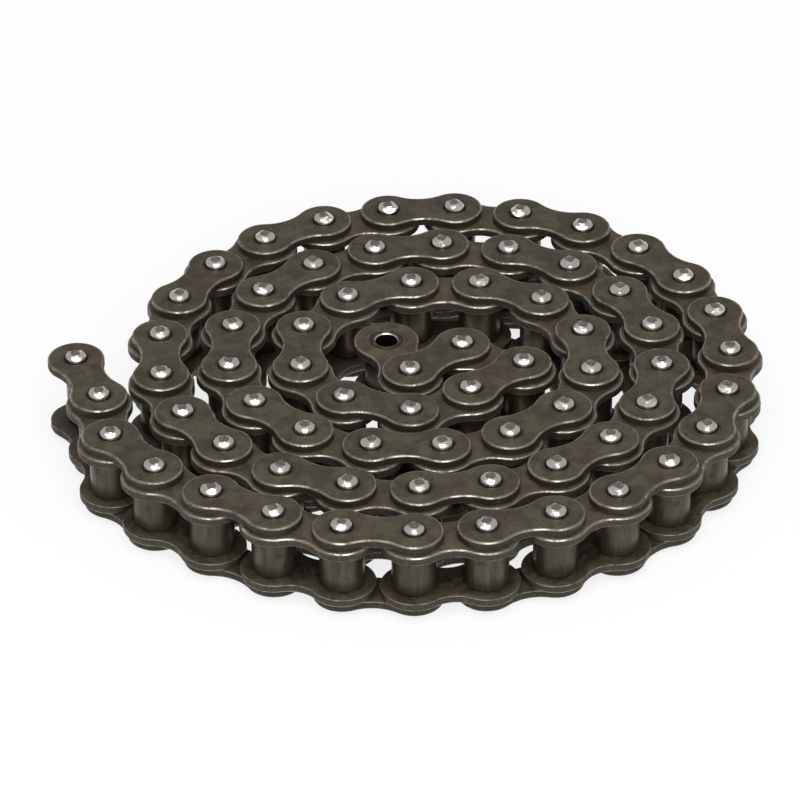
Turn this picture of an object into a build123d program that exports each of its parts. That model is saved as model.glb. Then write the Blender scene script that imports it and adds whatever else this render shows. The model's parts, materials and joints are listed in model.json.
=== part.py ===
"""Roller conveyor chain of 3/4 inch pitch, 68 links, lying coiled on its side.

The pins stand upright, so the chain rests on its pin ends.  From the free outer end the
chain runs counter-clockwise and inwards through almost three turns, and it ends in a
small hook at the middle of the coil.  Pin links and roller links alternate.  The first
sixteen links are the free length: nothing lies outside them, so each can swing outwards,
and their rollers turn.  The links behind them are held between the turns of the coil.

Units are millimetres.  The origin is the centre of the chain's footprint, at the level
that it stands on.  +Z is up, along the pins, and -Y is the side where the free end's
turn starts.
"""

import os
from math import atan2, cos, degrees, hypot, pi, radians, sin, tan

from build123d import *

# --- chain standard: one pitch and what has to fit it ------------------------------------
PITCH = 19.05
ROLLER_DIAMETER = 11.91
PIN_DIAMETER = 5.94
BUSH_WALL = 1.2
INNER_WIDTH = 12.57  # between the inner plates
PLATE_THICKNESS = 2.42
LINK_GAP = 0.97  # between the inner plates of two roller links, the chain straight
OUTER_PLATE_HEIGHT = 15.62
INNER_WAIST = 12.6  # height of a plate at its middle
OUTER_WAIST = 10.8
HEAD_HEIGHT = 1.65  # riveted pin end, beyond the outer plate
HEAD_FLAT = 3.5  # side of the staked square on a pin end
HEAD_LEAN = 52.0  # degrees from the axis, lean of the four staked sides

# --- fits -------------------------------------------------------------------------------
SEAT_GAP = 0.01  # pressed pin or bush in its plate
PIN_CLEARANCE = 0.06  # pin in bush, on the radius
ROLLER_CLEARANCE = 0.08  # roller on bush, on the radius
SIDE_CLEARANCE = 0.15  # inner plate to outer plate
ROLLER_SIDE_CLEARANCE = 0.13  # roller to inner plate

# --- edges ------------------------------------------------------------------------------
PLATE_EDGE = 0.4  # stamped, rolled-over rim
HOLE_EDGE = 0.35  # lead-in round a pin hole
BUSH_EDGE = 0.3
ROLLER_EDGE = 0.45
HEAD_ROUND = 0.9  # shoulder of a riveted pin end

# --- how the chain lies -----------------------------------------------------------------
COILED_LINKS = 56  # links that follow the coil's rule
COIL_END_ANGLE = 223.1  # degrees, where the inner turn ends
COIL_END_RADIUS = 1.612 * PITCH
COIL_OVAL = 0.147 * PITCH  # the coil is this much longer each way along X, and shorter along Y
TURN_GAP = 0.86  # between the inner plates of two turns
FREE_END_LIFTS = (0.184, -0.032, 0.15, 0.065, -0.045, -0.041)  # pitches off the coil's rule
HOOK_BENDS = (32.0, 50.0, 9.0, 111.0, 70.0, -111.0)  # degrees, on from the coil
FREE_LINKS = 16  # links that can swing clear of the coil

# --- worked out from the sizes above ----------------------------------------------------
INNER_PLATE_HEIGHT = PITCH - LINK_GAP
BUSH_BORE = PIN_DIAMETER + 2 * PIN_CLEARANCE
BUSH_DIAMETER = BUSH_BORE + 2 * BUSH_WALL
ROLLER_BORE = BUSH_DIAMETER + 2 * ROLLER_CLEARANCE
ROLLER_LENGTH = INNER_WIDTH - 2 * ROLLER_SIDE_CLEARANCE
BUSH_LENGTH = INNER_WIDTH + 2 * PLATE_THICKNESS
OUTER_WIDTH = BUSH_LENGTH + 2 * SIDE_CLEARANCE  # between the outer plates
CHAIN_WIDTH = OUTER_WIDTH + 2 * PLATE_THICKNESS
PIN_LENGTH = CHAIN_WIDTH + 2 * HEAD_HEIGHT
MIDDLE = PIN_LENGTH / 2  # height of the chain's middle plane
TURN_SPACING = INNER_PLATE_HEIGHT + TURN_GAP


# --- where the pins stand ---------------------------------------------------------------
QUARTER_TURN = pi / 2
FINE_ANGLE = 1e-12  # radians, where the search for the next pin stops


def coil_point(angle, lift=0.0):
    """Point of the oval, outward-running spiral at an angle in radians, lifted off it."""
    turns = (radians(COIL_END_ANGLE) - angle) / (2 * pi)
    radius = COIL_END_RADIUS + TURN_SPACING * turns + COIL_OVAL * cos(2 * angle) + lift
    return radius * cos(angle), radius * sin(angle)


def next_pin(angle, point, lift):
    """Angle of the pin one pitch further out from a point, by halving an interval."""
    low, high = angle - QUARTER_TURN, angle
    while high - low > FINE_ANGLE:
        middle = (low + high) / 2
        if hypot(*(a - b for a, b in zip(coil_point(middle, lift), point))) < PITCH:
            high = middle
        else:
            low = middle
    return high


def coiled_axes():
    """Pin axes from the free end in to where the coil ends and the hook starts."""
    angle = radians(COIL_END_ANGLE)
    axes = [coil_point(angle)]
    lifts = [0.0] * COILED_LINKS + [PITCH * share for share in reversed(FREE_END_LIFTS)]
    for lift in lifts:
        angle = next_pin(angle, axes[-1], lift)
        axes.append(coil_point(angle, lift))
    return axes[::-1]


def chain_course():
    """Every pin axis from the free end inwards, and every link's heading in degrees."""
    axes = coiled_axes()
    headings = []
    for (x0, y0), (x1, y1) in zip(axes, axes[1:]):
        headings.append(degrees(atan2(y1 - y0, x1 - x0)))
    for bend in HOOK_BENDS:
        headings.append(headings[-1] + bend)
        x, y = axes[-1]
        way = radians(headings[-1])
        axes.append((x + PITCH * cos(way), y + PITCH * sin(way)))
    return centred(axes), headings


def centred(axes):
    """The same axes, moved so that the chain's footprint is centred on the origin."""
    reach = [OUTER_PLATE_HEIGHT / 2] + [INNER_PLATE_HEIGHT / 2] * (len(axes) - 1)
    shift = []
    for way in (0, 1):
        low = min(axis[way] - r for axis, r in zip(axes, reach))
        high = max(axis[way] + r for axis, r in zip(axes, reach))
        shift.append((low + high) / 2)
    return [(x - shift[0], y - shift[1]) for x, y in axes]


AXES, HEADINGS = chain_course()
LINKS = len(HEADINGS)


def in_link(link, shape):
    """A shape drawn about a link's middle, placed on that link."""
    (x0, y0), (x1, y1) = AXES[link], AXES[link + 1]
    return Pos((x0 + x1) / 2, (y0 + y1) / 2, 0) * Rot(0, 0, HEADINGS[link]) * shape


def on_axis(axis, shape, turn=0.0):
    """A shape drawn about the Z axis, placed on a pin axis and turned by some degrees."""
    x, y = AXES[axis]
    return Pos(x, y, 0) * Rot(0, 0, turn) * shape


# --- the pieces -------------------------------------------------------------------------
STANDING = (Align.CENTER, Align.CENTER, Align.MIN)


def plate_outline(height, waist):
    """Figure-of-eight outline: two round ends, joined by hollow flanks tangent to both."""
    end, half, low = height / 2, PITCH / 2, waist / 2
    flank = (half**2 + low**2 - end**2) / (2 * (end - low))  # radius of a flank
    lift = low + flank  # height of a flank's centre
    share = end / (end + flank)
    x, y = half * (1 - share), lift * share  # where end and flank meet
    edges = [
        ThreePointArc((x, -y), (half + end, 0), (x, y)),
        ThreePointArc((x, y), (0, low), (-x, y)),
        ThreePointArc((-x, y), (-half - end, 0), (-x, -y)),
        ThreePointArc((-x, -y), (0, -low), (x, -y)),
    ]
    return make_face(edges)


def plate(height, waist, hole):
    """A plate standing on Z = 0, its rolled-over outer face up."""
    body = extrude(plate_outline(height, waist), PLATE_THICKNESS)
    body = fillet(body.faces().sort_by(Axis.Z)[-1].edges(), PLATE_EDGE)
    drill = Cylinder(hole / 2, PLATE_THICKNESS, align=STANDING)
    mouth = Cone(hole / 2, hole / 2 + HOLE_EDGE, HOLE_EDGE, align=STANDING)
    drill += Pos(0, 0, PLATE_THICKNESS - HOLE_EDGE) * mouth
    for side in (-1, 1):
        body -= Pos(side * PITCH / 2, 0, 0) * drill
    return body.solid()


def tube(outer, bore, length, edge):
    """A tube standing on Z = 0, with its outer rims chamfered."""
    body = Cylinder(outer / 2, length, align=STANDING)
    body = chamfer(body.edges().filter_by(GeomType.CIRCLE), edge)
    return (body - Cylinder(bore / 2, length, align=STANDING)).solid()


def staked_end(level, way):
    """Four leaning planes that square off one pin end, down or up to the pin's middle."""
    reach = PIN_LENGTH / 2
    spread = HEAD_FLAT + 2 * reach * tan(radians(HEAD_LEAN))
    flat = Plane.XY.offset(level) * Rectangle(HEAD_FLAT, HEAD_FLAT)
    wide = Plane.XY.offset(level - way * reach) * Rectangle(spread, spread)
    return loft([flat, wide] if way < 0 else [wide, flat])


def pin():
    """A pin with both ends riveted: a rounded shoulder, staked square on top."""
    body = Cylinder(PIN_DIAMETER / 2, PIN_LENGTH, align=STANDING)
    body = fillet(body.edges().filter_by(GeomType.CIRCLE), HEAD_ROUND)
    body &= staked_end(PIN_LENGTH, 1) + staked_end(0, -1)
    return body.solid()


OUTER_PLATE = plate(OUTER_PLATE_HEIGHT, OUTER_WAIST, PIN_DIAMETER + 2 * SEAT_GAP)
INNER_PLATE = plate(INNER_PLATE_HEIGHT, INNER_WAIST, BUSH_DIAMETER + 2 * SEAT_GAP)
PIN = pin()
BUSH = tube(BUSH_DIAMETER, BUSH_BORE, BUSH_LENGTH, BUSH_EDGE)
ROLLER = tube(ROLLER_DIAMETER, ROLLER_BORE, ROLLER_LENGTH, ROLLER_EDGE)


# --- pieces on their links ----------------------------------------------------------------
def upper_plate(link, shape, width):
    """A plate over a link, its inner face half the given width above the middle plane."""
    return in_link(link, Pos(0, 0, MIDDLE + width / 2) * shape)


def lower_plate(link, shape, width):
    """The same plate under the link, turned over so that its rolled edge faces down."""
    return in_link(link, Pos(0, 0, MIDDLE - width / 2) * Rot(180, 0, 0) * shape)


def outer_plates(link):
    """Upper and lower plate of a pin link."""
    return [
        upper_plate(link, OUTER_PLATE, OUTER_WIDTH),
        lower_plate(link, OUTER_PLATE, OUTER_WIDTH),
    ]


def inner_plates(link):
    """Upper and lower plate of a roller link."""
    return [
        upper_plate(link, INNER_PLATE, INNER_WIDTH),
        lower_plate(link, INNER_PLATE, INNER_WIDTH),
    ]


def pins(link):
    """Both pins of a pin link, staked square to its plates."""
    return [on_axis(axis, PIN, HEADINGS[link]) for axis in (link, link + 1)]


def bushes(link):
    """Both bushes of a roller link."""
    shape = Pos(0, 0, MIDDLE - BUSH_LENGTH / 2) * BUSH
    return [on_axis(axis, shape) for axis in (link, link + 1)]


def rollers(link):
    """Both rollers of a roller link, the one nearer the free end first."""
    shape = Pos(0, 0, MIDDLE - ROLLER_LENGTH / 2) * ROLLER
    return [on_axis(axis, shape) for axis in (link, link + 1)]


# --- nodes --------------------------------------------------------------------------------
def pin_link_nodes(link):
    """Plates and pins of one free pin link; the chain's end link has a node for each."""
    name = f"pin_link_{link // 2 + 1:02d}"
    plates, held = outer_plates(link), pins(link)
    if link > 0:
        return {f"{name}_plates": plates, f"{name}_pins": held}
    return {
        f"{name}_upper_plate": plates[:1],
        f"{name}_lower_plate": plates[1:],
        f"{name}_end_pin": held[:1],
        f"{name}_joint_pin": held[1:],
    }


def roller_link_nodes(link, name):
    """Plates, bushes and the two loose rollers of one roller link."""
    outer, inner = rollers(link)
    return {
        f"{name}_plates": inner_plates(link),
        f"{name}_bushes": bushes(link),
        f"{name}_outer_roller": [outer],
        f"{name}_inner_roller": [inner],
    }


def coil_nodes():
    """The links held between the turns, with like pieces together."""
    pin_links = range(FREE_LINKS, LINKS, 2)
    roller_links = range(FREE_LINKS + 1, LINKS - 1, 2)
    return {
        "coil_outer_plates": [p for link in pin_links for p in outer_plates(link)],
        "coil_pins": [p for link in pin_links for p in pins(link)],
        "coil_inner_plates": [p for link in roller_links for p in inner_plates(link)],
        "coil_bushes": [b for link in roller_links for b in bushes(link)],
        "coil_rollers": [r for link in roller_links for r in rollers(link)],
    }


def chain_nodes():
    """Every node of the chain by name, each a list of solids."""
    nodes = {}
    for link in range(0, FREE_LINKS, 2):
        nodes |= pin_link_nodes(link)
        nodes |= roller_link_nodes(link + 1, f"roller_link_{link // 2 + 1:02d}")
    first = nodes.pop("roller_link_01_plates")
    nodes["roller_link_01_upper_plate"] = first[:1]
    nodes["roller_link_01_lower_plate"] = first[1:]
    nodes |= coil_nodes()
    nodes |= roller_link_nodes(LINKS - 1, "end_roller_link")
    return nodes


os.makedirs("parts", exist_ok=True)
for node, solids in chain_nodes().items():
    export_step(Compound(children=solids, label=node), f"parts/{node}.step")
print(f"{LINKS} links, {LINKS * PITCH:.0f} mm from the free pin to the open bush")
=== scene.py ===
"""A coiled length of roller chain, dressed in steel: plates, riveted pins, bushes, rollers.

Each link's plates, pins and rollers are then made again with rolled rims, staked pin heads
and worn steel, on the pin axes of the coil's own rule, and ride on the frame's bodies. The
bushes keep the frame's shape.
"""

import json
import logging
import math
import random
from dataclasses import dataclass, field
from enum import Enum, IntEnum

import bmesh
import bpy
from mathutils import Matrix, Vector

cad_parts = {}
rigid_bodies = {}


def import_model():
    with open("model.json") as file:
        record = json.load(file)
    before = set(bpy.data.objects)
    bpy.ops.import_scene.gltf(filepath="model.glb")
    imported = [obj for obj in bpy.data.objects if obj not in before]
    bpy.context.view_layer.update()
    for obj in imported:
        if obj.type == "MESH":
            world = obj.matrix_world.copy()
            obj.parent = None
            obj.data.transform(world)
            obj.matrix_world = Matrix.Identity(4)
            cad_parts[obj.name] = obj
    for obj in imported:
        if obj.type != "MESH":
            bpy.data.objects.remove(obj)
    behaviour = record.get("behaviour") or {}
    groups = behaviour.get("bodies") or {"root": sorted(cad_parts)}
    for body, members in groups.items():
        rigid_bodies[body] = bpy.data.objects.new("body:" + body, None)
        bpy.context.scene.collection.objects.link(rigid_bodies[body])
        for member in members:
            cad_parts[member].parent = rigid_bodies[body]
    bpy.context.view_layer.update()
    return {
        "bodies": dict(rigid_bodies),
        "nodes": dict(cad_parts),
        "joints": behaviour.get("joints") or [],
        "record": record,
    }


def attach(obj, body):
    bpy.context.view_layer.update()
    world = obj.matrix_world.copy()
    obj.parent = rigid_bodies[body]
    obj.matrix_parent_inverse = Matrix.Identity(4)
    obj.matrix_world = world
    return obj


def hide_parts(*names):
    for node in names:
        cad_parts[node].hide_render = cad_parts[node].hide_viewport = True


log = logging.getLogger("chain")

MM = 0.001
RIM_WEAR = "rim_wear"
# Dark ring round the holes and down the bores: part dirt, part painted shade round the pin heads.
BORE_DIRT_AND_SHADE = "bore_dirt_and_shade"
SHARP_ANGLE = math.radians(32)
HAIR = 0.01  # mm, less than any step of a shape


# --- small helpers ------------------------------------------------------------------------
def linear(hex_colour: str) -> tuple[float, float, float, float]:
    """Turns an sRGB hex colour into linear red, green, blue and alpha.

    Args:
        hex_colour: Six hex digits after a hash.

    Returns:
        The linear colour, with alpha 1.
    """
    channels = []
    for start in (1, 3, 5):
        value = int(hex_colour[start : start + 2], 16) / 255
        channels.append(value / 12.92 if value <= 0.04045 else ((value + 0.055) / 1.055) ** 2.4)
    return (channels[0], channels[1], channels[2], 1.0)


def per_metre(size_mm: float) -> float:
    """Pattern scale on object coordinates that makes its features this large."""
    return 1 / (size_mm * MM)


def add_node(tree: bpy.types.NodeTree, kind: str, settings: dict, inputs: dict) -> bpy.types.Node:
    """Adds one node with its settings, and fills or links its inputs.

    Args:
        tree: Node tree of the material or world.
        kind: Blender's name for the node.
        settings: Node properties by name.
        inputs: Values or output sockets by input name or number.

    Returns:
        The new node.
    """
    node = tree.nodes.new(kind)
    for name, value in settings.items():
        setattr(node, name, value)
    for name, value in inputs.items():
        if isinstance(value, bpy.types.NodeSocket):
            tree.links.new(value, node.inputs[name])
        else:
            node.inputs[name].default_value = value
    return node


# --- finishes -----------------------------------------------------------------------------
class Pattern:
    """Noise, blends and bumps that the steel finishes share, in one material's tree."""

    def __init__(self, name: str) -> None:
        """Starts a material with an empty tree.

        Args:
            name: Name of the material and how it was made.
        """
        self.material = bpy.data.materials.new(name)
        self.material.use_nodes = True
        self.tree = self.material.node_tree
        self.tree.nodes.clear()
        coords = add_node(self.tree, "ShaderNodeTexCoord", {}, {})
        self.place = coords.outputs["Object"]

    def noise(
        self, size_mm: float, detail: float = 3.0, stretch: tuple | None = None
    ) -> bpy.types.NodeSocket:
        """Cloudy noise with features of one size.

        Args:
            size_mm: Size of the features.
            detail: How many finer layers lie on it.
            stretch: Scale of the coordinates along X, Y and Z, or None.

        Returns:
            The noise's value.
        """
        place = self.place
        if stretch:
            mapping = add_node(self.tree, "ShaderNodeMapping", {}, {"Vector": place, "Scale": stretch})
            place = mapping.outputs["Vector"]
        node = add_node(
            self.tree,
            "ShaderNodeTexNoise",
            {},
            {"Vector": place, "Scale": per_metre(size_mm), "Detail": detail, "Roughness": 0.6},
        )
        return node.outputs["Fac"]

    def ramp(self, value: bpy.types.NodeSocket, low: float, high: float) -> bpy.types.NodeSocket:
        """Spreads a value smoothly over 0 to 1.

        Args:
            value: Value to spread.
            low: Value that becomes 0, as do all below it.
            high: Value that becomes 1, as do all above it.

        Returns:
            The spread value.
        """
        node = add_node(
            self.tree,
            "ShaderNodeMapRange",
            {"clamp": True, "interpolation_type": "SMOOTHSTEP"},
            {"Value": value, "From Min": low, "From Max": high},
        )
        return node.outputs["Result"]

    def maths(self, operation: str, *values: object) -> bpy.types.NodeSocket:
        """One sum, product or other operation, clamped to 0 to 1.

        Args:
            operation: Blender's name for the operation.
            *values: Values or sockets that it works on.

        Returns:
            The result.
        """
        inputs = dict(enumerate(values))
        node = add_node(self.tree, "ShaderNodeMath", {"operation": operation, "use_clamp": True}, inputs)
        return node.outputs["Value"]

    def blend(self, share: object, first: object, second: object) -> bpy.types.NodeSocket:
        """Mixes two colours.

        Args:
            share: How much of the second colour shows.
            first: Hex colour or colour socket.
            second: Hex colour or colour socket.

        Returns:
            The mixed colour.
        """
        colours = [linear(c) if isinstance(c, str) else c for c in (first, second)]
        node = add_node(
            self.tree, "ShaderNodeMix", {"data_type": "RGBA"}, {0: share, 6: colours[0], 7: colours[1]}
        )
        return node.outputs[2]

    def between(self, share: object, first: float, second: float) -> bpy.types.NodeSocket:
        """A number between two others.

        Args:
            share: How far it lies towards the second number.
            first: Number at a share of 0.
            second: Number at a share of 1.

        Returns:
            The number between.
        """
        node = add_node(
            self.tree, "ShaderNodeMapRange", {}, {"Value": share, "To Min": first, "To Max": second}
        )
        return node.outputs["Result"]

    def painted(self, name: str) -> bpy.types.NodeSocket:
        """Value of an attribute that the meshes carry."""
        node = add_node(self.tree, "ShaderNodeAttribute", {"attribute_name": name}, {})
        return node.outputs["Fac"]

    def bump(
        self, height: bpy.types.NodeSocket, depth_mm: float, under: object = None
    ) -> bpy.types.NodeSocket:
        """Bump from a height, over another bump if one is given.

        Args:
            height: Height from 0 to 1.
            depth_mm: Depth that a height of 1 stands for.
            under: Normal of a bump below this one.

        Returns:
            The bumped normal.
        """
        inputs = {"Height": height, "Distance": depth_mm * MM, "Strength": 1.0}
        if under is not None:
            inputs["Normal"] = under
        return add_node(self.tree, "ShaderNodeBump", {}, inputs).outputs["Normal"]

    def finish(self, inputs: dict) -> bpy.types.Material:
        """Closes the tree with the surface shader.

        Args:
            inputs: The shader's inputs by name.

        Returns:
            The material.
        """
        surface = add_node(self.tree, "ShaderNodeBsdfPrincipled", {}, inputs)
        add_node(self.tree, "ShaderNodeOutputMaterial", {}, {"Surface": surface.outputs["BSDF"]})
        return self.material


@dataclass(frozen=True)
class PlateFace:
    """Hardened steel plate, tumbled and oiled: brown-grey, cloudy, with bright worn rims and a dark ring
    round each hole, part dirt and part painted shade.
    """

    name: str
    steel: str = "#4a4237"
    cloud: str = "#5c5647"
    dirt_and_shade: str = "#15120d"
    rim: str = "#a8a296"
    rust: str = "#593a20"
    rust_share: float = 0.32
    cloud_mm: float = 5.5
    pit_mm: float = 0.6  # coarser than real scale grain, so that it shows

    def material(self) -> bpy.types.Material:
        """Builds the node tree of the plate's face and rim.

        Returns:
            The material.
        """
        p = Pattern(self.name)
        clouds = p.ramp(p.noise(self.cloud_mm, 4.0), 0.36, 0.64)
        fine = p.noise(self.pit_mm, 2.0)
        colour = p.blend(clouds, self.steel, self.cloud)
        stained = p.between(p.ramp(p.noise(8.0, 2.0), 0.45, 0.6), 0.3, 1.0)
        flecks = p.maths("MULTIPLY", p.ramp(fine, 0.52, 0.68), stained)
        colour = p.blend(p.maths("MULTIPLY", flecks, 0.75), colour, self.dirt_and_shade)
        colour = p.blend(p.maths("MULTIPLY", p.ramp(p.noise(1.6, 4.0), 0.52, 0.66), 0.3), colour, self.rust)
        rust_bed = p.ramp(p.noise(7.0, 5.0), 1 - self.rust_share - 0.06, 1 - self.rust_share + 0.05)
        rust = p.maths("MULTIPLY", rust_bed, p.ramp(p.noise(1.2, 3.0), 0.35, 0.6))
        colour = p.blend(p.maths("MULTIPLY", rust, 0.8), colour, self.rust)
        # Dark ring round each hole: part dirt, part painted shade round the pin heads.
        dirt_and_shade = p.maths("MULTIPLY", p.painted(BORE_DIRT_AND_SHADE), p.ramp(p.noise(2.2, 3.0), 0.2, 0.75))
        colour = p.blend(dirt_and_shade, colour, self.dirt_and_shade)
        scuffs = p.between(p.ramp(p.noise(2.5, 5.0), 0.38, 0.6), 0.15, 1.0)
        worn = p.maths("MULTIPLY", p.ramp(p.painted(RIM_WEAR), 0.6, 1.0), scuffs)
        colour = p.blend(worn, colour, self.rim)
        metal = p.between(worn, 0.55, 1.0)
        metal = p.maths("SUBTRACT", metal, p.maths("MULTIPLY", rust, 0.5))
        rough = p.maths("ADD", p.between(worn, 0.46, 0.2), p.maths("MULTIPLY", clouds, 0.1))
        rough = p.maths("ADD", rough, p.maths("MULTIPLY", rust, 0.25))
        normal = p.bump(p.noise(2.5, 3.0), 0.02)
        normal = p.bump(fine, 0.025, normal)
        return p.finish({"Base Color": colour, "Metallic": metal, "Roughness": rough, "Normal": normal})


@dataclass(frozen=True)
class ShearedWall:
    """Side of a blanked plate: dark, torn along the punch's way, with a burnished band."""

    name: str
    steel: str = "#2e2921"
    fleck: str = "#474136"
    rust: str = "#4f351f"
    rim: str = "#a8a296"
    tear_mm: float = 0.6
    drag: float = 0.5

    def material(self) -> bpy.types.Material:
        """Builds the node tree of the plate's side.

        Returns:
            The material.
        """
        p = Pattern(self.name)
        tears = p.noise(self.tear_mm, 3.0, (1.0, 1.0, self.drag))
        colour = p.blend(p.ramp(tears, 0.5, 0.8), self.steel, self.fleck)
        rust = p.ramp(p.noise(6.0, 4.0), 0.58, 0.72)
        colour = p.blend(p.maths("MULTIPLY", rust, 0.55), colour, self.rust)
        scuffs = p.between(p.ramp(p.noise(2.0, 4.0), 0.36, 0.58), 0.2, 0.9)
        worn = p.maths("MULTIPLY", p.ramp(p.painted(RIM_WEAR), 0.45, 1.0), scuffs)
        colour = p.blend(worn, colour, self.rim)
        metal = p.between(worn, 0.45, 1.0)
        rough = p.between(p.ramp(tears, 0.4, 0.7), 0.62, 0.4)
        normal = p.bump(tears, 0.04)
        return p.finish({"Base Color": colour, "Metallic": metal, "Roughness": rough, "Normal": normal})


@dataclass(frozen=True)
class TurnedRoller:
    """Hardened roller, tumbled dark and oiled: satin, with faint lengthwise rubbing."""

    name: str
    steel: str = "#464035"
    rubbed: str = "#575143"
    dark: str = "#251f18"

    def material(self) -> bpy.types.Material:
        """Builds the node tree of a roller.

        Returns:
            The material.
        """
        p = Pattern(self.name)
        rubbing = p.noise(2.2, 3.0, (1.0, 1.0, 0.15))
        blotch = p.noise(3.5, 4.0)
        colour = p.blend(p.ramp(rubbing, 0.4, 0.7), self.steel, self.rubbed)
        colour = p.blend(p.maths("MULTIPLY", p.ramp(blotch, 0.52, 0.75), 0.6), colour, self.dark)
        rough = p.between(p.ramp(blotch, 0.3, 0.7), 0.3, 0.44)
        normal = p.bump(p.noise(0.6, 2.0, (1.0, 1.0, 0.3)), 0.008)
        return p.finish({"Base Color": colour, "Metallic": 0.7, "Roughness": rough, "Normal": normal})


@dataclass(frozen=True)
class BrightSteel:
    """Ground or peened steel: bright, with dents and dull spots.

    Its dents are as wide as dent_mm, larger than real tool marks, so that they show.
    """

    name: str
    steel: str
    dull: str
    smooth: float
    rough: float
    dent_mm: float
    dent_depth_mm: float
    spots: float = 0.5

    def material(self) -> bpy.types.Material:
        """Builds the node tree of bright steel.

        Returns:
            The material.
        """
        p = Pattern(self.name)
        dents = p.noise(self.dent_mm, 0.5)
        spots = p.ramp(p.noise(self.dent_mm * 0.8, 4.0), 0.6 - 0.3 * self.spots, 0.78 - 0.2 * self.spots)
        colour = p.blend(p.maths("MULTIPLY", spots, self.spots), self.steel, self.dull)
        roughness = p.between(spots, self.smooth, self.rough)
        normal = p.bump(dents, self.dent_depth_mm)
        return p.finish({"Base Color": colour, "Metallic": 1.0, "Roughness": roughness, "Normal": normal})


@dataclass(frozen=True)
class CurledBush:
    """Bush rolled from strip: its end dull under old oil, brown in places."""

    name: str
    steel: str = "#5f584b"
    oil: str = "#33281c"

    def material(self) -> bpy.types.Material:
        """Builds the node tree of a bush.

        Returns:
            The material.
        """
        p = Pattern(self.name)
        patches = p.ramp(p.noise(2.0, 4.0), 0.4, 0.65)
        colour = p.blend(p.maths("MULTIPLY", patches, 0.8), self.steel, self.oil)
        normal = p.bump(p.noise(0.5, 2.0), 0.01)
        return p.finish(
            {
                "Base Color": colour,
                "Metallic": 0.85,
                "Roughness": p.between(patches, 0.32, 0.55),
                "Normal": normal,
            }
        )


# Carbon steel plate, blanked, hardened, tumbled and oiled: a dull brown-grey with olive clouds and
# dark flecks, and a bright line where the rolled rim is rubbed.
# Round each hole a darker ring, part dirt and part painted shade.
OUTER_FACE = PlateFace("outer_plate_tumbled_oiled")
# The same steel on the roller links: a little lighter, with more rust where dirt gathers.
INNER_FACE = PlateFace(
    "inner_plate_tumbled_oiled", steel="#4f4639", cloud="#635a4b", rust_share=0.37, cloud_mm=4.5
)
# Sheared side of a blanked plate: darker and rougher than its face, faintly torn.
OUTER_WALL = ShearedWall("outer_plate_sheared_side")
INNER_WALL = ShearedWall("inner_plate_sheared_side", steel="#38322a", fleck="#544d41")
# Case-hardened roller steel, turned and oiled: satin, with a soft upright highlight.
ROLLER = TurnedRoller("roller_turned_oiled")
# Alloy steel pin end, riveted bright: silver, dented, with glints on the side that faces the light.
PIN_HEAD = BrightSteel("pin_riveted_end", "#e6e2db", "#a59f96", 0.24, 0.38, 1.3, 0.08, 0.3)
# The staked flat on it: darker than the head's sides, part duller struck steel and part painted shade on
# the upward flat, with old oil in its dents.
PIN_FLAT = BrightSteel("pin_staked_flat", "#a8a49d", "#4f4b45", 0.26, 0.42, 0.7, 0.08, 0.7)
# Ground pin shank: smooth mid grey under oil.
PIN_SHANK = BrightSteel("pin_ground_shank", "#7d776d", "#4a443b", 0.3, 0.45, 1.5, 0.01, 0.6)
# Bush curled from strip steel: its end as dark as the plate, brown in patches.
BUSH = CurledBush("bush_curled_strip")
# Its bore: nearly black, part old oil and part painted shade of the deep bore.
BUSH_BORE = CurledBush("bush_bore_oil_and_shade", "#2a241c", "#120e09")
# The edge of its bore, in brighter steel: a thin light ring.
BUSH_EDGE = BrightSteel("bush_bright_edge", "#d2cdc2", "#8c867a", 0.32, 0.42, 0.8, 0.02, 0.4)


# --- drawing and turning --------------------------------------------------------------------
class Pen:
    """Draws a chain of edges with extrude and spin, in millimetres, leaving a value behind."""

    def __init__(self, mesh: bmesh.types.BMesh, start: tuple, wear: float = 0.0) -> None:
        """Sets the pen down.

        Args:
            mesh: Mesh to draw in.
            start: First point.
            wear: Rim wear that the drawn points get.
        """
        self.mesh = mesh
        self.wear = wear
        self.tip = bmesh.ops.create_vert(mesh, co=start)["vert"][0]
        self.points = [self.tip]

    def line(self, end: tuple) -> "Pen":
        """Draws a straight edge.

        Args:
            end: Where the edge ends.

        Returns:
            The pen.
        """
        out = bmesh.ops.extrude_vert_indiv(self.mesh, verts=[self.tip])
        self.tip = out["verts"][0]
        bmesh.ops.translate(self.mesh, verts=[self.tip], vec=Vector(end) - self.tip.co)
        self.points.append(self.tip)
        return self

    def arc(self, centre: tuple, angle: float, steps: int, axis: tuple = (0, 0, 1)) -> "Pen":
        """Draws an arc.

        Args:
            centre: Centre of the arc.
            angle: Angle in radians, counter-clockwise about the axis.
            steps: Edges in the arc.
            axis: Axis of the arc.

        Returns:
            The pen.
        """
        before = len(self.mesh.verts)
        out = bmesh.ops.spin(
            self.mesh,
            geom=[self.tip],
            cent=centre,
            axis=axis,
            angle=angle,
            steps=steps,
            use_duplicate=False,
        )
        self.mesh.verts.ensure_lookup_table()
        self.points.extend(self.mesh.verts[before:])
        self.tip = [g for g in out["geom_last"] if isinstance(g, bmesh.types.BMVert)][0]
        return self

    def close(self) -> list[bmesh.types.BMEdge]:
        """Joins the end to the start.

        Returns:
            The closed ring of edges.
        """
        found = bmesh.ops.find_doubles(self.mesh, verts=self.points, dist=1e-3)
        bmesh.ops.weld_verts(self.mesh, targetmap=found["targetmap"])
        return self.ring()

    def ring(self) -> list[bmesh.types.BMEdge]:
        """Gives the drawn points the pen's wear.

        Returns:
            The drawn edges.
        """
        layer = self.mesh.verts.layers.float[RIM_WEAR]
        points = [v for v in self.points if v.is_valid]
        for point in points:
            point[layer] = self.wear
        return list(dict.fromkeys(edge for point in points for edge in point.link_edges))


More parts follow.
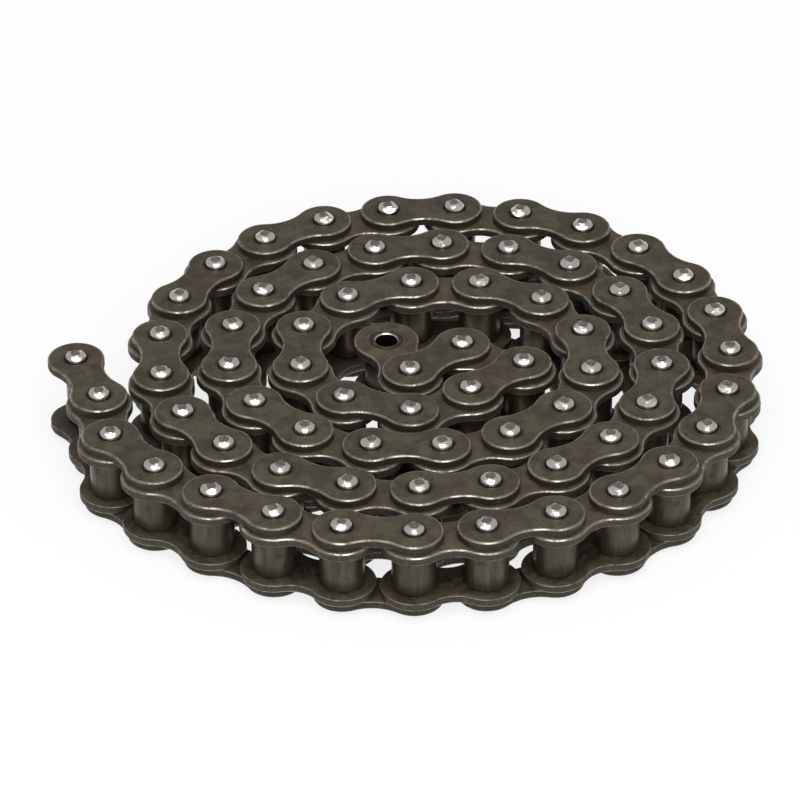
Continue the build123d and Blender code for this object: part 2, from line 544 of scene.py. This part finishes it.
def new_mesh() -> bmesh.types.BMesh:
    """Starts an empty mesh that can carry wear and grime.

    Returns:
        The mesh.
    """
    mesh = bmesh.new()
    mesh.verts.layers.float.new(RIM_WEAR)
    mesh.verts.layers.float.new(BORE_DIRT_AND_SHADE)
    return mesh


def circle(
    mesh: bmesh.types.BMesh, x: float, radius: float, level: float, steps: int, dirt_and_shade: float
) -> list:
    """Draws a circle about an upright axis.

    Args:
        mesh: Mesh to draw in.
        x: Place of the axis along the link.
        radius: Radius of the circle.
        level: Height of the circle.
        steps: Edges in it.
        dirt_and_shade: Value of the dark ring round the holes, part dirt and part painted shade, that its
            points get.

    Returns:
        The circle's edges.
    """
    out = bmesh.ops.create_circle(
        mesh, segments=steps, radius=radius, matrix=Matrix.Translation((x, 0, level))
    )
    layer = mesh.verts.layers.float[BORE_DIRT_AND_SHADE]
    for vert in out["verts"]:
        vert[layer] = dirt_and_shade
    return list(dict.fromkeys(edge for vert in out["verts"] for edge in vert.link_edges))


def bridge(mesh: bmesh.types.BMesh, rings: list, zone: int = 0) -> None:
    """Bridges each ring to the next with faces of one material.

    Args:
        mesh: Mesh that holds the rings.
        rings: Lists of edges, in order.
        zone: Material slot of the faces.
    """
    for first, second in zip(rings, rings[1:]):
        out = bmesh.ops.bridge_loops(mesh, edges=first + second)
        for face in out["faces"]:
            face.material_index = zone


def fill(mesh: bmesh.types.BMesh, edges: list, zone: int = 0) -> None:
    """Fills a flat outline, less the holes in it, with faces of one material.

    Args:
        mesh: Mesh that holds the outline.
        edges: Edges of the outline and of its holes.
        zone: Material slot of the faces.
    """
    out = bmesh.ops.triangle_fill(mesh, edges=edges, use_beauty=True)
    for item in out["geom"]:
        if isinstance(item, bmesh.types.BMFace):
            item.material_index = zone


def close_up(mesh: bmesh.types.BMesh) -> None:
    """Merges doubles, turns faces outwards and marks the sharp edges.

    Args:
        mesh: The finished shape.
    """
    bmesh.ops.remove_doubles(mesh, verts=mesh.verts, dist=1e-4)
    bmesh.ops.recalc_face_normals(mesh, faces=mesh.faces)
    for face in mesh.faces:
        face.smooth = True
    for edge in mesh.edges:
        edge.smooth = edge.calc_face_angle(0.0) < SHARP_ANGLE


class PlateZone(IntEnum):
    """Material slots of a plate."""

    FACE = 0
    WALL = 1


@dataclass
class Plate:
    """A link plate about its link's middle, in millimetres, its rolled face up.

    The face rises by roll over the worn border, so that no two rings of the rim are level.
    """

    height: float
    waist: float
    hole: float
    pitch: float = 19.05
    thickness: float = 2.42
    rim: float = 0.55
    foot: float = 0.22
    foot_lap: float = 0.3  # share of the foot's rounding where its middle ring lies
    foot_fade: float = 0.25
    rim_fade: float = 0.3
    mouth: float = 0.35
    wear_width: float = 0.22
    # Width of the dark ring round each hole, part dirt and part painted shade.
    roll: float = 0.04
    dirt_and_shade_width: float = 0.9
    end_steps: int = 34
    flank_steps: int = 12
    hole_steps: int = 36
    rim_steps: int = 4

    def outline(self, mesh: bmesh.types.BMesh, inset: float, level: float, wear: float) -> list:
        """Draws the waisted outline at one level.

        Args:
            mesh: Mesh to draw in.
            inset: How far inside the plate's full outline.
            level: Height of the outline.
            wear: Rim wear of its points.

        Returns:
            The outline's edges.
        """
        half = self.pitch / 2
        end = self.height / 2
        low = self.waist / 2
        flank = (half**2 + low**2 - end**2) / (2 * (end - low))
        lift = low + flank
        meet = math.atan2(lift, -half)
        hollow = math.atan2(half, lift)
        reach = end - inset
        start = (half + reach * math.cos(-meet), reach * math.sin(-meet), level)
        pen = Pen(mesh, start, wear)
        pen.arc((half, 0, level), 2 * meet, self.end_steps)
        pen.arc((0, lift, level), -2 * hollow, self.flank_steps)
        pen.arc((-half, 0, level), 2 * meet, self.end_steps)
        pen.arc((0, -lift, level), -2 * hollow, self.flank_steps)
        return pen.close()

    def build(self) -> bmesh.types.BMesh:
        """Builds the plate: rounded foot, wall, rolled rim, worn border, bored holes.

        Returns:
            The plate's mesh.
        """
        mesh = new_mesh()
        top = self.thickness
        foot = self.outline(mesh, self.foot, 0.0, 0.5)
        lap = self.outline(mesh, self.foot * self.foot_lap, self.foot * self.foot_lap, 1.0)
        wall = [
            self.outline(mesh, 0.0, self.foot, 0.6),
            self.outline(mesh, 0.0, self.foot + self.foot_fade, 0.0),
            self.outline(mesh, 0.0, top - self.rim - self.rim_fade, 0.0),
            self.outline(mesh, 0.0, top - self.rim, 0.5),
        ]
        rim = [wall[-1]]
        for step in range(1, self.rim_steps + 1):
            turn = math.pi / 2 * step / self.rim_steps
            inset = self.rim * (1 - math.cos(turn))
            level = top - self.roll - (self.rim - self.roll) * (1 - math.sin(turn))
            rim.append(self.outline(mesh, inset, level, 1.0))
        border = self.outline(mesh, self.rim + self.wear_width, top, 0.0)
        bridge(mesh, [foot, lap] + wall, PlateZone.WALL)
        bridge(mesh, rim + [border], PlateZone.FACE)
        above, below = list(border), list(foot)
        for side in (-1, 1):
            x = side * self.pitch / 2
            radius = self.hole / 2
            # The dark ring, part dirt and part painted shade, fades out at this circle.
            dirt_and_shade_edge = circle(mesh, x, radius + self.mouth + self.dirt_and_shade_width, top, self.hole_steps, 0.0)
            bore = [
                dirt_and_shade_edge,
                circle(mesh, x, radius + self.mouth, top, self.hole_steps, 0.9),
                circle(mesh, x, radius, top - self.mouth, self.hole_steps, 1.0),
                circle(mesh, x, radius, 0.0, self.hole_steps, 1.0),
            ]
            bridge(mesh, bore, PlateZone.FACE)
            above += dirt_and_shade_edge
            below += bore[-1]
        fill(mesh, above, PlateZone.FACE)
        fill(mesh, below, PlateZone.FACE)
        close_up(mesh)
        return mesh


def turned(profile: Pen, steps: int, closed: bool) -> None:
    """Turns a drawn profile about the Z axis into a solid.

    Args:
        profile: The pen that drew the profile.
        steps: Flats round the axis.
        closed: Whether the profile is a ring that doesn't touch the axis.
    """
    mesh = profile.mesh
    edges = profile.close() if closed else profile.ring()
    geom = list(dict.fromkeys(vert for edge in edges for vert in edge.verts)) + edges
    bmesh.ops.spin(
        mesh, geom=geom, cent=(0, 0, 0), axis=(0, 0, 1), angle=2 * math.pi, steps=steps, use_merge=True
    )
    bmesh.ops.remove_doubles(mesh, verts=mesh.verts, dist=1e-4)


class TubeZone(IntEnum):
    """Material slots of a bush."""

    OUTSIDE = 0
    EDGE = 1
    BORE = 2


@dataclass
class Tube:
    """A roller or bush about the Z axis, its outer rims rounded, in millimetres."""

    outer: float
    bore: float
    length: float
    rim: float
    rim_steps: int = 3
    bore_rim: float = 0.2
    bore_zones: bool = False
    steps: int = 44

    def build(self) -> bmesh.types.BMesh:
        """Builds the tube by turning its section.

        Returns:
            The tube's mesh.
        """
        mesh = new_mesh()
        wide, narrow, half = self.outer / 2, self.bore / 2, self.length / 2
        pen = Pen(mesh, (narrow + self.bore_rim, 0, half))
        pen.line((wide - self.rim, 0, half))
        pen.arc((wide - self.rim, 0, half - self.rim), math.pi / 2, self.rim_steps, (0, 1, 0))
        pen.line((wide, 0, -half + self.rim))
        pen.arc((wide - self.rim, 0, -half + self.rim), math.pi / 2, self.rim_steps, (0, 1, 0))
        pen.line((narrow + self.bore_rim, 0, -half))
        pen.line((narrow, 0, -half + self.bore_rim))
        pen.line((narrow, 0, half - self.bore_rim))
        pen.line((narrow + self.bore_rim, 0, half))
        turned(pen, self.steps, True)
        close_up(mesh)
        if self.bore_zones:
            self.mark_bore(mesh)
        return mesh

    def mark_bore(self, mesh: bmesh.types.BMesh) -> None:
        """Gives the bore and the edge round it their own zones.

        Args:
            mesh: Mesh of the tube.
        """
        for face in mesh.faces:
            reach = face.calc_center_median().xy.length
            if reach < self.bore / 2 + HAIR:
                face.material_index = TubeZone.BORE
            elif reach < self.bore / 2 + self.bore_rim:
                face.material_index = TubeZone.EDGE


class PinZone(IntEnum):
    """Material slots of a pin."""

    SHANK = 0
    HEAD = 1
    FLAT = 2


@dataclass
class Pin:
    """A pin riveted at both ends and staked square, about the Z axis, in millimetres.

    Each end is a disc with a domed side of crown by shoulder, on a neck that is sunk in the plate.
    Four facets that lean by lean degrees stand round a square of flat, turned by skew degrees and
    off its middle by off.
    """

    diameter: float = 5.94
    length: float = 25.85
    head: float = 1.65
    neck: float = 5.7
    crown: float = 1.3
    shoulder: float = 1.4
    flat: float = 2.6
    lean: float = 59.0
    skew: float = 0.0
    off: float = 0.0
    dome_steps: int = 7
    sink: float = 0.35
    steps: int = 40

    def build(self) -> bmesh.types.BMesh:
        """Builds the upper half, stakes it, and mirrors it to the lower half.

        Returns:
            The pin's mesh.
        """
        mesh = new_mesh()
        radius, top, neck = self.diameter / 2, self.length / 2, self.neck / 2
        pen = Pen(mesh, (0, 0, top))
        pen.line((neck - self.shoulder, 0, top))
        for step in range(1, self.dome_steps + 1):
            turn = math.pi / 2 * step / self.dome_steps
            across = neck - self.shoulder * (1 - math.sin(turn))
            pen.line((across, 0, top - self.crown * (1 - math.cos(turn))))
        pen.line((neck, 0, top - self.head + 0.05))
        pen.line((radius, 0, top - self.head - self.sink))
        pen.line((radius, 0, 0))
        turned(pen, self.steps, False)
        for face in mesh.faces:
            middle = face.calc_center_median()
            face.material_index = PinZone.SHANK if middle.z < top - self.head else PinZone.HEAD
            if middle.z > top - HAIR:
                face.material_index = PinZone.FLAT
        self.stake(mesh, top)
        bmesh.ops.poke(mesh, faces=[face for face in mesh.faces if len(face.verts) > 4])
        bmesh.ops.mirror(
            mesh,
            geom=mesh.verts[:] + mesh.edges[:] + mesh.faces[:],
            matrix=Matrix.Identity(4),
            merge_dist=1e-3,
            axis="Z",
        )
        close_up(mesh)
        return mesh

    def stake(self, mesh: bmesh.types.BMesh, top: float) -> None:
        """Cuts four leaning facets round the flat and softens their upper edges.

        Args:
            mesh: Mesh of the upper half.
            top: Height of the flat.
        """
        lean = math.radians(self.lean)
        for quarter in range(4):
            way = math.radians(90 * quarter + self.skew)
            out = Vector((math.cos(way), math.sin(way), 0))
            normal = out * math.cos(lean) + Vector((0, 0, math.sin(lean)))
            point = out * (self.flat / 2) + Vector((self.off, -self.off, top))
            cut = bmesh.ops.bisect_plane(
                mesh,
                geom=mesh.verts[:] + mesh.edges[:] + mesh.faces[:],
                plane_co=point,
                plane_no=normal,
                clear_outer=True,
            )
            edges = [g for g in cut["geom_cut"] if isinstance(g, bmesh.types.BMEdge)]
            made = bmesh.ops.contextual_create(mesh, geom=edges)
            for face in made["faces"]:
                face.material_index = PinZone.HEAD
                face.normal_update()
        level = [e for e in mesh.edges if all(v.co.z > top - HAIR / 10 for v in e.verts)]
        bmesh.ops.bevel(
            mesh,
            geom=[e for e in level if e.calc_face_angle(0) > 0.3],
            offset=0.2,
            segments=3,
            profile=0.5,
            affect="EDGES",
            material=-1,
            clamp_overlap=True,
        )


# --- where the pins stand -------------------------------------------------------------------
@dataclass(frozen=True)
class Course:
    """The coil's own rule for its pins, in millimetres and degrees, from the inner end out."""

    pitch: float = 19.05
    coiled_links: int = 56
    end_angle: float = 223.1
    end_radius: float = 1.612 * 19.05
    oval: float = 0.147 * 19.05
    spacing: float = 18.94
    plate_ends: tuple = (7.81, 9.04)
    lifts: tuple = (0.184, -0.032, 0.15, 0.065, -0.045, -0.041)
    hook: tuple = (32.0, 50.0, 9.0, 111.0, 70.0, -111.0)

    def point(self, angle: float, lift: float) -> Vector:
        """Point of the oval spiral.

        Args:
            angle: Angle about the coil's middle, in radians.
            lift: How far outside the spiral.

        Returns:
            The point.
        """
        turns = (math.radians(self.end_angle) - angle) / (2 * math.pi)
        radius = self.end_radius + self.spacing * turns + self.oval * math.cos(2 * angle) + lift
        return Vector((radius * math.cos(angle), radius * math.sin(angle)))

    def next_angle(self, angle: float, point: Vector, lift: float) -> float:
        """Angle of the pin one pitch further out, found by halving an interval.

        Args:
            angle: Angle of the pin that it follows.
            point: Place of the pin that it follows.
            lift: How far outside the spiral the new pin lies.

        Returns:
            The angle, in radians.
        """
        low, high = angle - math.pi / 2, angle
        while high - low > 1e-12:
            middle = (low + high) / 2
            if (self.point(middle, lift) - point).length < self.pitch:
                high = middle
            else:
                low = middle
        return high

    def axes(self) -> list[Vector]:
        """Works out every pin axis, centred on the footprint.

        Returns:
            The axes from the free end in.
        """
        angle = math.radians(self.end_angle)
        axes = [self.point(angle, 0.0)]
        lifts = [0.0] * self.coiled_links + [self.pitch * share for share in reversed(self.lifts)]
        for lift in lifts:
            angle = self.next_angle(angle, axes[-1], lift)
            axes.append(self.point(angle, lift))
        axes.reverse()
        last = axes[-1] - axes[-2]
        heading = math.atan2(last.y, last.x)
        for bend in self.hook:
            heading += math.radians(bend)
            axes.append(axes[-1] + self.pitch * Vector((math.cos(heading), math.sin(heading))))
        return self.centred(axes)

    def centred(self, axes: list[Vector]) -> list[Vector]:
        """Moves the axes so that the middle of their plates' footprint lies on the origin.

        Args:
            axes: The pin axes from the free end in.

        Returns:
            The moved axes.
        """
        reach = [self.plate_ends[0]] + [self.plate_ends[1]] * (len(axes) - 1)
        ends = list(zip(axes, reach))
        low = Vector((min(a.x - r for a, r in ends), min(a.y - r for a, r in ends)))
        high = Vector((max(a.x + r for a, r in ends), max(a.y + r for a, r in ends)))
        return [a - (low + high) / 2 for a in axes]


# --- the chain ------------------------------------------------------------------------------
class Side(Enum):
    """Which side of the chain a plate lies on."""

    UPPER = "upper"
    LOWER = "lower"


@dataclass
class Fitted:
    """One template mesh with the place it takes."""

    shape: bmesh.types.BMesh
    place: Matrix


@dataclass
class Chain:
    """The whole chain: templates, places and the pieces that ride on the frame."""

    free_links: int = 16
    middle: float = 12.925
    inner_width: float = 12.57
    outer_width: float = 17.71
    course: Course = field(default_factory=Course)
    seed: int = 7

    def __post_init__(self) -> None:
        """Builds the templates, the materials and the pin axes."""
        self.axes = self.course.axes()
        self.links = len(self.axes) - 1
        self.chance = random.Random(self.seed)
        self.outer_plate = Plate(height=15.62, waist=10.8, hole=5.98).build()
        self.inner_plate = Plate(height=18.08, waist=12.6, hole=8.48, mouth=0.28, dirt_and_shade_width=0.5).build()
        self.roller = Tube(outer=11.91, bore=8.62, length=12.31, rim=0.45).build()
        self.bush = Tube(
            outer=8.46, bore=6.06, length=17.41, rim=0.3, rim_steps=2, bore_rim=0.3, bore_zones=True
        ).build()
        self.pins = [
            Pin(flat=2.6, lean=59.0).build(),
            Pin(flat=2.4, lean=57.0, skew=6.0, off=0.12).build(),
            Pin(flat=2.8, lean=61.0, skew=-5.0, off=-0.1).build(),
            Pin(flat=2.5, lean=55.0, skew=2.0, off=0.18).build(),
        ]
        self.plate_steel = {
            "outer": [OUTER_FACE.material(), OUTER_WALL.material()],
            "inner": [INNER_FACE.material(), INNER_WALL.material()],
        }
        self.pin_steel = [PIN_SHANK.material(), PIN_HEAD.material(), PIN_FLAT.material()]
        self.roller_steel = [ROLLER.material()]
        self.bush_steel = [BUSH.material(), BUSH_EDGE.material(), BUSH_BORE.material()]

    def heading(self, link: int) -> float:
        """Heading of a link.

        Args:
            link: Number of the link, from the free end.

        Returns:
            The heading, in radians.
        """
        along = self.axes[link + 1] - self.axes[link]
        return math.atan2(along.y, along.x)

    def plate_place(self, link: int, side: Side, width: float) -> Matrix:
        """Place of a plate on its link.

        Args:
            link: Number of the link.
            side: Upper or lower plate.
            width: Distance between the two plates' inner faces.

        Returns:
            The place, in millimetres.
        """
        middle = (self.axes[link] + self.axes[link + 1]) / 2
        way = 1 if side is Side.UPPER else -1
        place = Matrix.Translation((middle.x, middle.y, self.middle + way * width / 2))
        place @= Matrix.Rotation(self.heading(link), 4, "Z")
        return place if way > 0 else place @ Matrix.Rotation(math.pi, 4, "X")

    def axis_place(self, axis: int, turn: float) -> Matrix:
        """Place of a pin, bush or roller at the chain's middle.

        Args:
            axis: Number of its axis, from the free end.
            turn: Its turn about the axis, in radians.

        Returns:
            The place, in millimetres.
        """
        point = self.axes[axis]
        return Matrix.Translation((point.x, point.y, self.middle)) @ Matrix.Rotation(turn, 4, "Z")

    def pin_fit(self, axis: int, link: int) -> Fitted:
        """Picks one of the heads for a pin and turns its stake by chance.

        Args:
            axis: Number of its axis.
            link: Number of the pin link that holds it.

        Returns:
            The pin with its place.
        """
        turn = self.heading(link) + math.radians(self.chance.uniform(-45, 45))
        return Fitted(self.chance.choice(self.pins), self.axis_place(axis, turn))

    def body(self, link: int) -> str:
        """Body of the frame that carries a link.

        Args:
            link: Number of the link.

        Returns:
            The body's name.
        """
        if link == self.links - 1:
            return "end_roller_link"
        if link >= self.free_links:
            return "coil"
        kind = "pin_link" if link % 2 == 0 else "roller_link"
        return f"{kind}_{link // 2 + 1:02d}"

    def make(self, name: str, body: str, node: str, steel: list, fits: list[Fitted]) -> None:
        """Makes one piece from placed templates and hangs it on the frame.

        Args:
            name: Name of the piece.
            body: Body of the frame that it rides on.
            node: Node of the frame that it stands for.
            steel: Materials in the order of the shape's zones.
            fits: Templates with their places.
        """
        whole = new_mesh()
        data = bpy.data.meshes.new(name)
        for fit in fits:
            part = fit.shape.copy()
            bmesh.ops.transform(part, matrix=Matrix.Scale(MM, 4) @ fit.place, verts=part.verts)
            part.to_mesh(data)
            part.free()
            whole.from_mesh(data)
        whole.to_mesh(data)
        whole.free()
        for material in steel:
            data.materials.append(material)
        piece = bpy.data.objects.new(name, data)
        bpy.context.scene.collection.objects.link(piece)
        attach(piece, body)
        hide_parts(node)
        log.info("%s on %s: %d faces", name, body, len(data.polygons))

    def pin_link(self, link: int) -> None:
        """Makes the plates and pins of one pin link.

        Args:
            link: Number of the link.
        """
        body = self.body(link)
        name = body if body != "coil" else f"coil_link_{link + 1:02d}"
        width = self.outer_width
        plates = {s: Fitted(self.outer_plate, self.plate_place(link, s, width)) for s in Side}
        pins = [self.pin_fit(link, link), self.pin_fit(link + 1, link)]
        steel = self.plate_steel["outer"]
        if link == 0:
            for side, fit in plates.items():
                part = f"{name}_{side.value}_plate"
                self.make(f"{part}_dressed", body, part, steel, [fit])
            for end, fit in zip(("end", "joint"), pins):
                part = f"{name}_{end}_pin"
                self.make(f"{part}_dressed", body, part, self.pin_steel, [fit])
            return
        plate_node = "coil_outer_plates" if body == "coil" else f"{name}_plates"
        pin_node = "coil_pins" if body == "coil" else f"{name}_pins"
        both = list(plates.values())
        self.make(f"{name}_plates_dressed", body, plate_node, steel, both)
        self.make(f"{name}_pins_dressed", body, pin_node, self.pin_steel, pins)

    def roller_link(self, link: int) -> None:
        """Makes the plates and rollers of one roller link, and the bushes of the end link.

        Args:
            link: Number of the link.
        """
        body = self.body(link)
        name = body if body != "coil" else f"coil_link_{link + 1:02d}"
        width = self.inner_width
        plates = {s: Fitted(self.inner_plate, self.plate_place(link, s, width)) for s in Side}
        rollers = [Fitted(self.roller, self.axis_place(axis, 0.0)) for axis in (link, link + 1)]
        steel = self.plate_steel["inner"]
        if link == 1:
            for side, fit in plates.items():
                part = f"{name}_{side.value}_plate"
                self.make(f"{part}_dressed", body, part, steel, [fit])
        else:
            node = "coil_inner_plates" if body == "coil" else f"{name}_plates"
            both = list(plates.values())
            self.make(f"{name}_plates_dressed", body, node, steel, both)
        if body == "coil":
            steel = self.roller_steel
            self.make(f"{name}_rollers_dressed", body, "coil_rollers", steel, rollers)
            return
        for end, fit in zip(("outer", "inner"), rollers):
            part = f"{name}_{end}_roller"
            self.make(f"{part}_dressed", part, part, self.roller_steel, [fit])
        if link == self.links - 1:
            bushes = [Fitted(self.bush, self.axis_place(axis, 0.0)) for axis in (link, link + 1)]
            node, steel = f"{name}_bushes", self.bush_steel
            self.make(f"{name}_bushes_dressed", body, node, steel, bushes)

    def build(self, frame: dict) -> None:
        """Builds every link, and dresses the bushes that the frame keeps.
        """
        for link in range(self.links):
            if link % 2 == 0:
                self.pin_link(link)
            else:
                self.roller_link(link)
        for name, node in frame["nodes"].items():
            if name.endswith("_bushes"):
                node.data.materials.clear()
                node.data.materials.append(self.bush_steel[TubeZone.OUTSIDE])


# --- studio ---------------------------------------------------------------------------------
@dataclass
class Studio:
    """White floor, soft lamps and the camera."""

    lens_mm: float = 218.0
    distance: float = 1.328
    elevation: float = 35.04
    roll: float = -0.45
    target: tuple = (-0.0016, -0.0024, 0.0129)
    floor_half: float = 40.0
    glow_for_camera_and_reflections: float = 0.8
    surround: float = 0.42

    def floor(self) -> None:
        """Lays the floor, white where the camera sees it, with the chain's shadow on it, and glowing in the
        metal's glossy reflections: a painted reflection that no lamp casts.
        """
        mesh = bmesh.new()
        bmesh.ops.create_grid(mesh, x_segments=4, y_segments=4, size=self.floor_half)
        data = bpy.data.meshes.new("floor")
        mesh.to_mesh(data)
        mesh.free()
        floor = bpy.data.objects.new("floor", data)
        bpy.context.scene.collection.objects.link(floor)
        material = bpy.data.materials.new("floor_white_paper_glowing_in_reflections")
        material.use_nodes = True
        tree = material.node_tree
        tree.nodes.clear()
        paper = add_node(tree, "ShaderNodeBsdfDiffuse", {}, {"Color": (0.9, 0.9, 0.9, 1)})
        glow = add_node(tree, "ShaderNodeEmission", {}, {"Color": (1, 1, 1, 1), "Strength": 1.0})
        path = add_node(tree, "ShaderNodeLightPath", {}, {})
        seen = path.outputs["Is Camera Ray"]
        # The floor glows for glossy rays too: a painted reflection of white floor in the rollers, walls and
        # pins, with no shadow in it.
        for kind in ("Is Glossy Ray", "Is Transmission Ray"):
            rays = {0: seen, 1: path.outputs[kind]}
            seen = add_node(tree, "ShaderNodeMath", {"operation": "MAXIMUM"}, rays).outputs[0]
        white = {0: seen, 1: self.glow_for_camera_and_reflections}
        share = add_node(tree, "ShaderNodeMath", {"operation": "MULTIPLY"}, white)
        both = add_node(
            tree,
            "ShaderNodeMixShader",
            {},
            {0: share.outputs[0], 1: paper.outputs[0], 2: glow.outputs[0]},
        )
        add_node(tree, "ShaderNodeOutputMaterial", {}, {"Surface": both.outputs[0]})
        data.materials.append(material)

    def world(self) -> None:
        """Sets an even pale surround."""
        world = bpy.data.worlds.new("studio")
        world.use_nodes = True
        world.node_tree.nodes.clear()
        glow = add_node(
            world.node_tree, "ShaderNodeBackground", {}, {"Color": (1, 1, 1, 1), "Strength": self.surround}
        )
        add_node(world.node_tree, "ShaderNodeOutputWorld", {}, {"Surface": glow.outputs[0]})
        bpy.context.scene.world = world

    def lamp(self, name: str, place: tuple, size: float, watts: float) -> None:
        """Hangs a square soft lamp that faces the chain.

        Args:
            name: Name of the lamp.
            place: Where it hangs, in metres.
            size: Side of its square.
            watts: Its power.
        """
        data = bpy.data.lights.new(name, "AREA")
        data.shape = "SQUARE"
        data.size = size
        data.energy = watts
        lamp = bpy.data.objects.new(name, data)
        lamp.location = place
        lamp.rotation_euler = (-Vector(place)).to_track_quat("-Z", "Y").to_euler()
        bpy.context.scene.collection.objects.link(lamp)

    def camera(self) -> None:
        """Sets the camera in front of the chain, looking down on it."""
        data = bpy.data.cameras.new("camera")
        data.lens = self.lens_mm
        data.sensor_width = 36.0
        data.clip_start = 0.05
        data.clip_end = 50.0
        camera = bpy.data.objects.new("camera", data)
        lift = math.radians(self.elevation)
        away = Vector((0, -math.cos(lift), math.sin(lift)))
        camera.location = Vector(self.target) + away * self.distance
        look = away.to_track_quat("Z", "Y").to_matrix().to_4x4()
        look @= Matrix.Rotation(math.radians(self.roll), 4, "Z")
        camera.rotation_euler = look.to_euler()
        bpy.context.scene.collection.objects.link(camera)
        bpy.context.scene.camera = camera

    def build(self) -> None:
        """Sets up floor, surround, lamps and camera."""
        self.floor()
        self.world()
        self.lamp("softbox_above", (0.0, -0.7, 1.7), 1.4, 20.0)
        self.lamp("softbox_front", (0.15, -1.5, 0.9), 1.2, 17.0)
        self.camera()
        bpy.context.scene.view_settings.view_transform = "Standard"


def main() -> None:
    """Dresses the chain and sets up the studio."""
    logging.basicConfig(level=logging.INFO, format="%(name)s: %(message)s")
    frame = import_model()
    Chain().build(frame)
    Studio().build()


if __name__ == "__main__":
    main()
